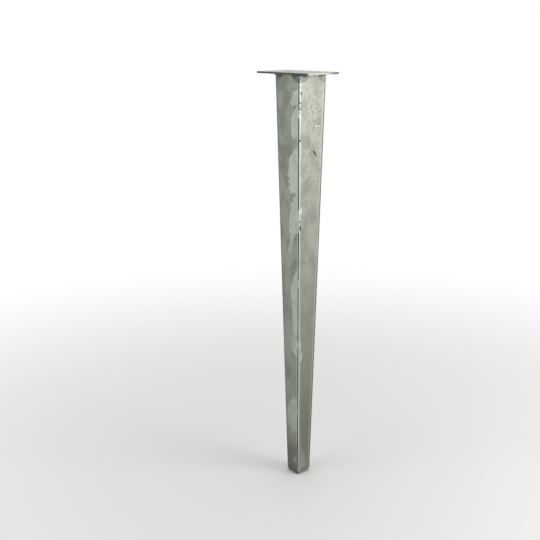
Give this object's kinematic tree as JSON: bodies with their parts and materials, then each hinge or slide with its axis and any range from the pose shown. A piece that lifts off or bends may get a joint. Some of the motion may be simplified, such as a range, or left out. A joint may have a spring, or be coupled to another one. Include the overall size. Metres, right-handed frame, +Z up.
{
  "type": "table leg",
  "caption": "Tapered square table leg of folded raw steel sheet, stitch welded at its corners, with a screw plate on top and a closed foot.",
  "frame": {"origin": "middle of the foot, on the floor", "axes": "+Z up along the leg's axis, towards the screw plate; X and Y square to the tube's faces, with the front seam at -X -Y"},
  "size_m": [0.072, 0.125, 0.72],
  "materials": {
    "sheet_steel": "raw rolled steel, mottled, with ground patches and heat tint",
    "plate_steel": "raw cut steel plate",
    "ground_weld": "weld metal ground flush",
    "dark_weld": "as-welded bead, dark with oxide"
  },
  "bodies": {
    "root": {"top_plate": "plate_steel", "right_shell": "sheet_steel", "left_shell": "sheet_steel", "front_seam_welds": "ground_weld", "rear_seam_welds": "ground_weld", "plate_weld_front": "dark_weld", "plate_weld_left": "dark_weld", "plate_weld_right": "dark_weld", "plate_weld_rear": "dark_weld", "foot_plate": "plate_steel", "foot_weld": "ground_weld"}
  },
  "joints": []
}
